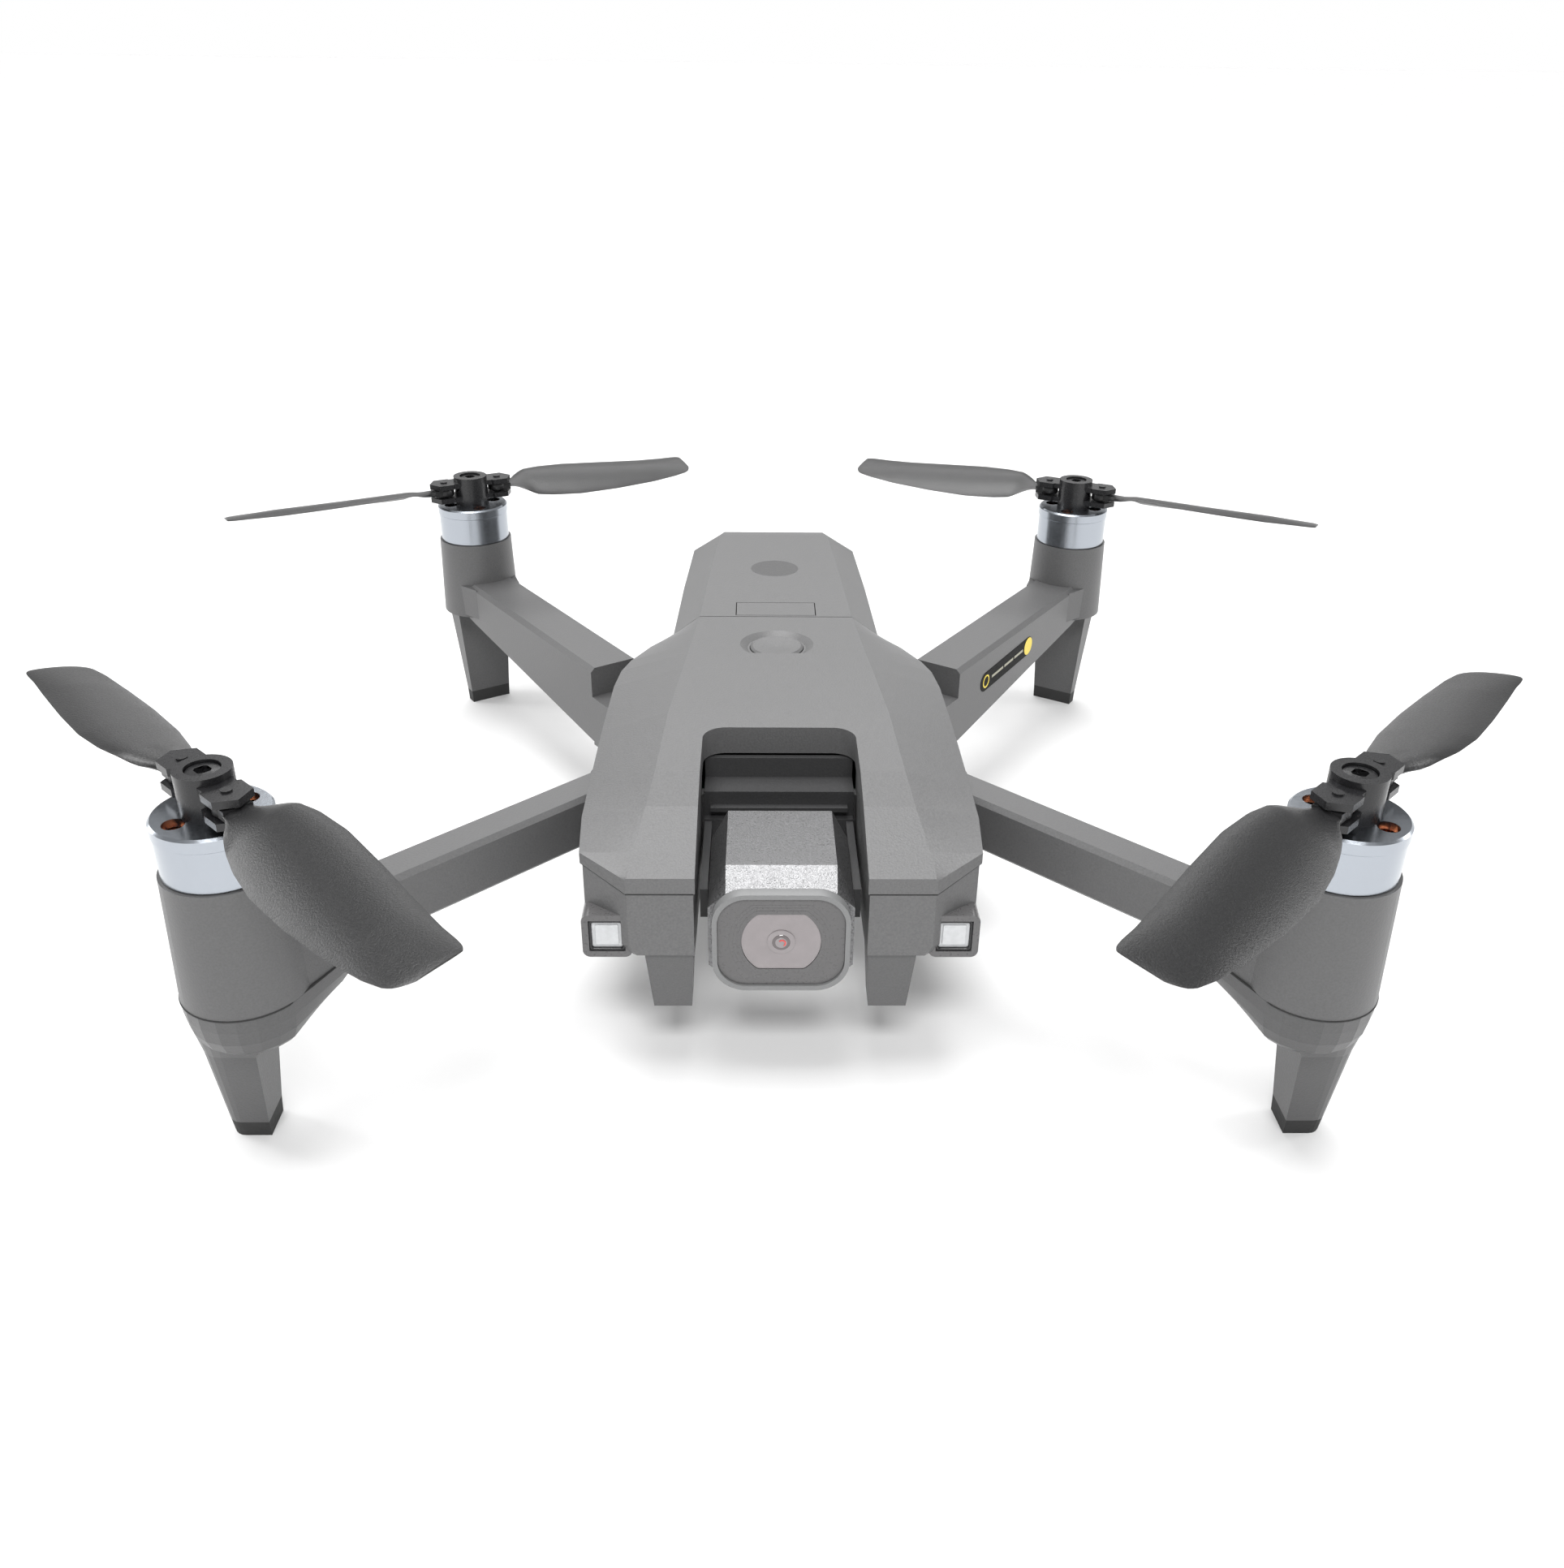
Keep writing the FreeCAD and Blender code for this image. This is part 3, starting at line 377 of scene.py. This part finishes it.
def blade_section(radius):
    """One ring of the blade as (across, lift) in millimetres, twisted and cambered beyond the neck."""
    lead, trail, thick = blade_values(radius)
    share = (radius - BLADE_TWIST[0]) / (BLADE_TWIST[1] - BLADE_TWIST[0])
    pitch = BLADE_PITCH[0] + (BLADE_PITCH[1] - BLADE_PITCH[0]) * share
    pitch = math.radians(pitch * climb(radius, *PITCH_CLIMB))
    chord = lead + trail
    fade = 1.0 - 0.85 * climb(radius, *CAMBER_FADE)
    camber = BLADE_CAMBER * chord * climb(radius, *CAMBER_CLIMB) * fade
    section = []
    for step in range(BLADE_RING):
        angle = 2 * math.pi * step / BLADE_RING
        along = (lead - trail) / 2 + chord / 2 * math.cos(angle)
        bow = camber * (1 - math.cos(angle) ** 2) - camber * 0.5
        rise = thick / 2 * math.sin(angle) * (0.72 + 0.28 * math.cos(angle)) + bow
        section.append((along * math.cos(pitch) - rise * math.sin(pitch),
                        along * math.sin(pitch) + rise * math.cos(pitch)))
    return section


def make_blade(corner, letter):
    """A twisted, cambered blade with a flat eye, in place of the plainer CAD blade."""
    motor = joint_place(f"{corner}_spin")
    hinge = joint_place(f"{corner}_blade_{letter}_hinge")
    out = Vector((hinge.x - motor.x, hinge.y - motor.y, 0)).normalized()
    hand = -1.0 if "right" in corner else 1.0
    side = Vector((-out.y, out.x, 0)) * hand
    low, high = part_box(f"{corner}_blade_{letter}")
    middle = Vector((motor.x, motor.y, (low[2] + high[2]) / 2))

    def spot(radius, across, lift):
        return middle + out * radius * MM + side * across * MM + Vector((0, 0, lift * MM))

    root, tip = BLADE[0][0], BLADE[-1][0]
    points = []
    for row in range(BLADE_ROWS + 1):
        # The rows lie closer together towards the tip.
        radius = root + (tip - root) * (1 - (1 - row / BLADE_ROWS) ** 1.25)
        points += [spot(radius, across, lift) for across, lift in blade_section(radius)]
    faces = [tuple(range(BLADE_RING)), tuple(BLADE_ROWS * BLADE_RING + step for step in range(BLADE_RING))]
    faces += ring_faces(BLADE_ROWS + 1, BLADE_RING, closed=False)

    eye = Vector((hinge.x, hinge.y, middle.z))
    profile = [(1.3, -1.2), (3.1, -1.3), (3.4, -1.0), (3.4, 1.0), (3.1, 1.3), (1.3, 1.2)]
    more, more_faces = turned_mesh([(r * MM, z * MM) for r, z in profile], eye, Z_AXIS, 40)
    faces += shifted(more_faces, len(points))
    points += more

    neck = ((hinge - motor).to_2d().length / MM + 1.0, root + 0.6)
    plan = [(neck[0], -3.1), (neck[1], -3.1), (neck[1], 3.1), (neck[0], 3.1)]
    faces += shifted([(0, 1, 2, 3), (4, 5, 6, 7), (0, 1, 5, 4), (1, 2, 6, 5), (2, 3, 7, 6), (3, 0, 4, 7)],
                     len(points))
    points += [spot(radius, across, level) for level in (-1.1, 1.1) for radius, across in plan]

    piece = mesh_piece(f"{corner}_blade_{letter}_moulding", points, faces, "prop",
                       f"{corner}_blade_{letter}_body", "prop_black")
    soften(piece, 50)
    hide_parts(f"{corner}_blade_{letter}")


def make_screw(corner):
    """Cross-head screw in the hub's recess."""
    centre = joint_place(f"{corner}_spin")
    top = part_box(f"{corner}_prop_hub")[1][2] - 1.6 * MM
    arm_long = 1.75
    arm_half = 0.42
    outline = []
    for quarter in range(4):
        for x, y in ((arm_half, arm_half), (arm_half, arm_long), (-arm_half, arm_long)):
            angle = math.radians(90 * quarter)
            outline.append((x * math.cos(angle) - y * math.sin(angle),
                            x * math.sin(angle) + y * math.cos(angle)))
    rim = circle(3.35, 48)
    work = bmesh.new()
    rim_low, rim_high, slot_high, slot_low = [
        [work.verts.new(Vector((centre.x + x * MM, centre.y + y * MM, top + level * MM))) for x, y in ring]
        for ring, level in ((rim, 0.05), (rim, 1.0), (outline, 1.15), (outline, 0.3))]
    work.faces.new(list(reversed(rim_low)))
    for step in range(len(rim)):
        after = (step + 1) % len(rim)
        work.faces.new((rim_low[step], rim_low[after], rim_high[after], rim_high[step]))
    fill_between(work, rim_high, slot_high)
    for step in range(len(outline)):
        after = (step + 1) % len(outline)
        work.faces.new((slot_high[step], slot_high[after], slot_low[after], slot_low[step]))
    clear_triangles(work, set(slot_high))
    work.faces.new(slot_low)
    bmesh.ops.recalc_face_normals(work, faces=work.faces)
    data = bpy.data.meshes.new(f"{corner}_hub_screw")
    work.to_mesh(data)
    work.free()
    add_piece(f"{corner}_hub_screw", data, "hub", f"{corner}_rotor")


def make_windings(corner):
    """Nine wound copper teeth, seen through the openings of the motor's lid."""
    centre = joint_place(f"{corner}_spin")
    core = Vector((centre.x, centre.y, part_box(f"{corner}_motor_stator")[1][2] - 0.1 * MM))
    teeth = 9
    turns = 7
    ring = 14
    wire_sides = 6
    wire_radius = 0.36
    points = []
    faces = []
    for tooth in range(teeth):
        angle = 2 * math.pi * tooth / teeth
        out = Vector((math.cos(angle), math.sin(angle), 0))
        side = Vector((-out.y, out.x, 0))
        for turn in range(turns):
            radius = 4.4 + turn * 0.72
            half_wide = 1.35 + 0.16 * turn
            faces += shifted(ring_faces(ring, wire_sides), len(points))
            for row in range(ring):
                swing = 2 * math.pi * row / ring
                spot = (core + out * radius * MM + side * math.cos(swing) * half_wide * MM
                        + Vector((0, 0, math.sin(swing) * 0.62 * MM)))
                for step in range(wire_sides):
                    around = 2 * math.pi * step / wire_sides
                    push = (side * math.cos(swing) + Vector((0, 0, 1)) * math.sin(swing)) * math.cos(around)
                    points.append(spot + (push + out * math.sin(around)) * wire_radius * MM)
    mesh_piece(f"{corner}_copper_coils", points, faces, "copper", f"{corner}_arm_assembly", "copper_core")


def make_lid_band(corner):
    """The milled upper band of the motor can: many shallow flats."""
    centre = joint_place(f"{corner}_spin")
    count = 72
    points = []
    for height, radius, dip in ((-3.1, 12.05, 0.07), (-2.9, 12.22, 0.07), (-0.75, 12.22, 0.07),
                                (-0.55, 12.05, 0.07), (-0.55, 11.6, 0.0), (-3.1, 11.6, 0.0)):
        for step in range(count):
            reach = radius - (0.0 if step % 2 else dip)
            angle = 2 * math.pi * step / count
            points.append(centre + Vector((reach * math.cos(angle) * MM, reach * math.sin(angle) * MM,
                                           height * MM)))
    mesh_piece(f"{corner}_milled_band", points, ring_faces(6, count), "can", f"{corner}_rotor",
               "motor_aluminium", smooth=False)


# ------------------------------------------------------------------ camera and lamps

def cut_disc(size, flat):
    """Outline of a disc cut off straight above and below."""
    return [(x, max(-flat, min(flat, z))) for x, z in circle(size, 96)]


def make_lens():
    """The lens window: cut-off disc, stepped rings in the panel around it, pupil and red glint."""
    low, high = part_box("lens_bezel")
    middle_x = (low[0] + high[0]) / 2
    middle_z = (low[2] + high[2]) / 2
    glass_low, glass_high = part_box("lens_glass")
    half_high = (glass_high[2] - glass_low[2]) / 2 / MM
    radius = (glass_high[0] - glass_low[0]) / 2 / MM

    window_at = Vector((middle_x, low[1] + 1.25 * MM, middle_z))
    window = prism_piece("lens_window", cut_disc(radius + 0.15, half_high + 1.0), window_at, X_AXIS, Z_AXIS,
                         -0.5, 0.35, "glass", "camera", "clear_glass")
    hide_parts("lens_glass")
    panel_at = Vector((middle_x, low[1] + 1.2 * MM, middle_z))
    for index, (size, flat, level) in enumerate(((12.3, 10.3, 0.53), (11.4, 9.5, 0.54), (10.5, 8.7, 0.55))):
        step = frame_piece(f"lens_step_{index}", cut_disc(size, flat), cut_disc(size - 0.3, flat - 0.3),
                           panel_at, (level, level - 0.05, level - 0.35), "panel", "camera")
        soften(step)
    ring_plate("lens_panel", rounded_box(14.9, 12.1, 6.9), cut_disc(radius + 0.25, half_high + 1.1), panel_at,
               0.0, 0.5, "panel")
    domes = (("lens_iris", 3.3, 0.42, "glass"), ("lens_pupil_ring", 2.2, 0.55, "pupil"),
             ("lens_pupil_glass", 1.5, 0.66, "glass"))
    for name, size, lift, paint in domes:
        profile = [(size, 0.0), (size, lift * 0.6), (size * 0.92, lift * 0.9), (size * 0.5, lift),
                   (0.02, lift + 0.05)]
        turned_piece(name, profile, window_at + Vector((0, -0.3 * MM, 0)), (0, -1, 0), paint, "camera",
                     "clear_glass")
    arc = []
    for size, start, sweep in ((0.95, -60, 200), (0.62, 140, -200)):
        for step in range(19):
            angle = math.radians(start + sweep * step / 18)
            arc.append((size * math.cos(angle), size * math.sin(angle)))
    # The red arc is a painted reflection, a glint painted as colour.
    prism_piece("lens_red_glint", arc, window_at + Vector((0.2 * MM, -1.0 * MM, 0)), X_AXIS, Z_AXIS,
                -0.05, 0.1, "glint", "camera", "clear_glass")


def fill_between(work, outside, inside):
    """Triangles between two closed loops of points; an edge that isn't there yet is made."""
    loops = []
    for ring in (outside, inside):
        for step in range(len(ring)):
            ends = (ring[step], ring[(step + 1) % len(ring)])
            loops.append(work.edges.get(ends) or work.edges.new(ends))
    bmesh.ops.triangle_fill(work, use_beauty=True, edges=loops)


def clear_triangles(work, hole):
    """Take out the triangles that fill_between laid inside the hole's own points."""
    for face in list(work.faces):
        if len(face.verts) == 3 and all(vert in hole for vert in face.verts):
            work.faces.remove(face)


def ring_plate(name, outer, inner, place, low, high, paint):
    """A flat plate facing -Y with a hole: outer and inner outlines joined front, back and sides."""
    work = bmesh.new()
    rings = []
    for level in (high, low):
        for outline in (outer, inner):
            rings.append([work.verts.new(place + Vector((x * MM, -level * MM, z * MM))) for x, z in outline])
    for front, back in ((rings[0], rings[2]), (rings[1], rings[3])):
        count = len(front)
        for step in range(count):
            work.faces.new((front[step], front[(step + 1) % count], back[(step + 1) % count], back[step]))
    fill_between(work, rings[0], rings[1])
    fill_between(work, rings[2], rings[3])
    clear_triangles(work, set(rings[1]) | set(rings[3]))
    bmesh.ops.recalc_face_normals(work, faces=work.faces)
    data = bpy.data.meshes.new(name)
    work.to_mesh(data)
    work.free()
    add_piece(name, data, paint, "camera")


def frame_piece(name, outer, inner, place, levels, paint, body):
    """A thin frame facing -Y; levels are its outer front, inner front and back, in millimetres."""
    front, inner_front, back = levels
    points = []
    for outline, lift in ((outer, front), (inner, inner_front), (inner, back), (outer, back)):
        points += [place + Vector((x * MM, -lift * MM, z * MM)) for x, z in outline]
    return mesh_piece(name, points, ring_faces(4, len(outer)), paint, body, "lens_frame")


def make_lamps():
    """Headlights: a dark inner frame, a pale outer diffuser and a brighter square in its middle."""
    low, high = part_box("headlight_lenses")
    half = (high[2] - low[2]) / 2 / MM
    middle_z = (low[2] + high[2]) / 2
    for side, sign in (("right", 1), ("left", -1)):
        place = Vector((sign * (high[0] - half * MM), low[1], middle_z))
        frame_piece(f"{side}_lamp_trim", rounded_box(half - 0.05, half - 0.05, 0.8),
                    rounded_box(half - 0.65, half - 0.65, 0.6), place, (1.05, 0.85, -0.1), "lamp_trim",
                    "fuselage")
        lens = prism_piece(f"{side}_lamp_lens", rounded_box(half - 0.6, half - 0.6, 0.6), place, X_AXIS,
                           Z_AXIS, -0.3, 0.25, "lamp", "fuselage", "clear_glass")
        core = prism_piece(f"{side}_lamp_core", rounded_box(half - 1.5, half - 1.5, 0.3),
                           place + Vector((0, -0.3 * MM, 0)), X_AXIS, Z_AXIS, -0.2, 0.35, "lamp",
                           "fuselage", "clear_glass")
        round_edges(lens, 0.15)
        round_edges(core, 0.12)
    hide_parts("headlight_lenses")


# ------------------------------------------------------------------ small details

def make_badge():
    """A plain disc badge on the battery; it carries no lettering."""
    low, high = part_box("battery_cover")
    place = Vector((0, low[1] + 0.52 * (high[1] - low[1]), 65.0 * MM))
    profile = [(8.2, -0.4), (8.2, -0.04), (8.12, 0.03), (7.9, 0.03), (0.05, 0.03)]
    turned_piece("battery_badge", profile, place, Z_AXIS, "badge", "battery", "shell_grey", 72)


def make_label():
    """Plain black and yellow pill label on the front face of the right rear arm."""
    motor = joint_place("rear_right_spin")
    angle = math.radians(55.7)
    rise = math.radians(2.6)
    flat = Vector((math.cos(angle), math.sin(angle), 0))
    face = Vector((flat.y, -flat.x, 0))
    along = flat * math.cos(rise) + Vector((0, 0, math.sin(rise)))
    above = -flat * math.sin(rise) + Vector((0, 0, math.cos(rise)))
    origin = Vector((motor.x, motor.y, 41.4 * MM)) - flat * 66.8 * MM + face * 8.4 * MM
    half = 20.0
    body = ("rear_right_arm_assembly", "shell_grey")
    prism_piece("arm_label", rounded_box(half, 3.3, 3.25), origin, along, above, -0.1, 0.15, "label_black",
                *body)
    cap = [(a + half - 3.3, b) for a, b in rounded_box(3.1, 3.1, 3.05)]
    prism_piece("arm_label_end", cap, origin, along, above, 0.05, 0.22, "label_yellow", *body)
    ring_outer, ring_inner = [[(-half + 3.9 + a, b) for a, b in circle(radius, 40)] for radius in (2.3, 1.75)]
    points = []
    for outline, lift in ((ring_outer, 0.1), (ring_outer, 0.22), (ring_inner, 0.22), (ring_inner, 0.1)):
        points += [origin + along * a * MM + above * b * MM + face * lift * MM for a, b in outline]
    mesh_piece("arm_label_ring", points, ring_faces(4, 40), "label_yellow", *body)
    for index, (start, end) in enumerate(((-11.8, -3.2), (-2.2, 4.6), (5.6, 12.4))):
        bar = [(start, -0.45), (end, -0.45), (end, 0.45), (start, 0.45)]
        prism_piece(f"arm_label_bar_{index}", bar, origin, along, above, 0.1, 0.2, "label_grey", *body)


def make_seam_shadow(name, outline, body):
    """A thin dark strip of painted shade in a parting line along a closed outline of (x, y, z) in metres; the
    outside shows.
    """
    count = len(outline)
    points = []
    for push, lift in ((0.07, -0.16), (0.07, 0.16), (-0.5, 0.16), (-0.5, -0.16)):
        for index, (x, y, z) in enumerate(outline):
            before = Vector(outline[index - 1][:2])
            after = Vector(outline[(index + 1) % count][:2])
            way = (after - before).normalized()
            points.append((x + way.y * push * MM, y - way.x * push * MM, z + lift * MM))
    mesh_piece(name, points, ring_faces(4, count), "seam", body, "shell_grey")


def make_nose_seams():
    """Painted shade along the line between the upper and lower shells, round the front of each nose lobe."""
    shift = joint_place("front_right_fold").y / MM + 49.5
    path = [(20.3, -98.45, 51.65), (35.95, -98.45, 51.65), (47.05, -90.25, 55.15),
            (47.95, -76.0, 55.75), (47.9, -64.5, 57.7), (42.0, -66.0, 57.4),
            (41.0, -80.0, 55.6), (34.0, -92.0, 52.6), (21.0, -94.0, 51.8)]
    for side in (1, -1):
        outline = [(side * x * MM, (y + shift) * MM, z * MM) for x, y, z in path]
        if side < 0:
            outline.reverse()
        make_seam_shadow("nose_seam_right" if side > 0 else "nose_seam_left", outline, "fuselage")


def make_pod_seams():
    """Painted shade along the line between each front pod and the cap below it."""
    for corner in ("front_right", "front_left"):
        motor = joint_place(f"{corner}_spin")
        side = 1 if "right" in corner else -1
        pivot = joint_place(f"{corner}_fold")
        arm_way = math.atan2(motor.y - pivot.y, (motor.x - pivot.x) * side)
        local = [(-24.0, 5.4), (-24.0, -5.4)]
        for step in range(33):
            swing = math.radians(-100 + 200 * step / 32)
            local.append((13.98 * math.cos(swing), 13.98 * math.sin(swing)))
        outline = []
        for a, b in local:
            outline.append((motor.x + side * (a * math.cos(arm_way) - b * math.sin(arm_way)) * MM,
                            motor.y + (a * math.sin(arm_way) + b * math.cos(arm_way)) * MM, 43.95 * MM))
        if side < 0:
            outline.reverse()
        make_seam_shadow(f"{corner}_pod_seam", outline, f"{corner}_arm_assembly")


# ------------------------------------------------------------------ stage, light and camera

def make_floor():
    """A plain pale floor that reaches out of every view."""
    reach = 60.0
    data = bpy.data.meshes.new("floor")
    data.from_pydata([(-reach, -reach, 0), (reach, -reach, 0), (reach, reach, 0), (-reach, reach, 0)], [],
                     [(0, 1, 2, 3)])
    floor = bpy.data.objects.new("floor", data)
    bpy.context.scene.collection.objects.link(floor)
    data.materials.append(grained("floor_paper", (0.76, 0.76, 0.76), 0.9, 30.0, 0.02, 0.01,
                                  Specular_IOR_Level=0.2))


def make_sky():
    """White at the horizon, dimmer overhead, by the height of the ray."""
    world = bpy.data.worlds.new("studio")
    bpy.context.scene.world = world
    world.use_nodes = True
    nodes = world.node_tree.nodes
    links = world.node_tree.links
    sky = nodes["Background"]
    sky.inputs["Color"].default_value = (1.0, 1.0, 1.0, 1.0)
    ray = nodes.new("ShaderNodeTexCoord")
    split = nodes.new("ShaderNodeSeparateXYZ")
    ramp = nodes.new("ShaderNodeMapRange")
    ramp.interpolation_type = "SMOOTHSTEP"
    for socket, value in (("From Min", 0.02), ("From Max", 0.40), ("To Min", 1.0), ("To Max", 0.40)):
        ramp.inputs[socket].default_value = value
    links.new(ray.outputs["Generated"], split.inputs["Vector"])
    links.new(split.outputs["Z"], ramp.inputs["Value"])
    links.new(ramp.outputs["Result"], sky.inputs["Strength"])


def add_light(name, place, aim, wide, high, power):
    """A rectangular area light; sizes in metres, power in watts."""
    data = bpy.data.lights.new(name, "AREA")
    data.shape = "RECTANGLE"
    data.size = wide
    data.size_y = high
    data.energy = power
    light = bpy.data.objects.new(name, data)
    light.location = place
    light.rotation_euler = (Vector(aim) - Vector(place)).to_track_quat("-Z", "Y").to_euler()
    bpy.context.scene.collection.objects.link(light)


def add_sun(name, source, power, spread):
    """A very wide, even light from the direction of source."""
    data = bpy.data.lights.new(name, "SUN")
    data.energy = power
    data.angle = math.radians(spread)
    light = bpy.data.objects.new(name, data)
    light.rotation_euler = (-Vector(source)).to_track_quat("-Z", "Y").to_euler()
    bpy.context.scene.collection.objects.link(light)


def make_camera():
    """The viewing camera: 28 degrees down, a degree off the aircraft's own axis."""
    pitch = math.radians(28.151)
    yaw = math.radians(1.131)
    roll = math.radians(0.683)
    ahead = Vector((math.sin(yaw) * math.cos(pitch), math.cos(yaw) * math.cos(pitch), -math.sin(pitch)))
    right = Vector((math.cos(yaw), -math.sin(yaw), 0))
    up = right.cross(ahead)
    across = right * math.cos(roll) + up * math.sin(roll)
    above = -right * math.sin(roll) + up * math.cos(roll)
    data = bpy.data.cameras.new("camera_view")
    data.sensor_width = 36.0
    data.lens = 31.22
    data.clip_start = 0.01
    view = bpy.data.objects.new("camera_view", data)
    turn = Matrix((across, above, -ahead)).transposed().to_4x4()
    motors = [joint_place(f"{corner}_spin") for corner in CORNERS]
    middle_y = sum(spot.y for spot in motors) / len(motors)
    view.matrix_world = Matrix.Translation((-5.45 * MM, middle_y - 362.55 * MM, 221.9 * MM)) @ turn
    bpy.context.scene.collection.objects.link(view)
    bpy.context.scene.camera = view


make_camera()
paint_nodes()
for corner in CORNERS:
    for letter in ("a", "b"):
        make_blade(corner, letter)
    make_screw(corner)
    make_windings(corner)
    make_lid_band(corner)
make_lens()
make_lamps()
make_badge()
make_label()
make_nose_seams()
make_pod_seams()
make_floor()
make_sky()
add_sun("overhead_diffuser", (-0.10, 0.15, 1.0), 2.9, 40)
add_light("front_softbox", (0.0, -0.78, 0.94), (0, -0.08, 0.05), 0.5, 0.26, 9.0)
add_light("rear_softbox", (0.0, 1.25, 0.95), (0, 0.05, 0.05), 1.3, 0.35, 5.0)
add_light("left_strip", (-0.95, 0.25, 0.45), (0, 0, 0.05), 0.2, 0.7, 3.0)
add_light("right_strip", (0.95, 0.1, 0.45), (0, 0, 0.05), 0.2, 0.7, 2.4)
bpy.context.scene.view_settings.view_transform = "Standard"
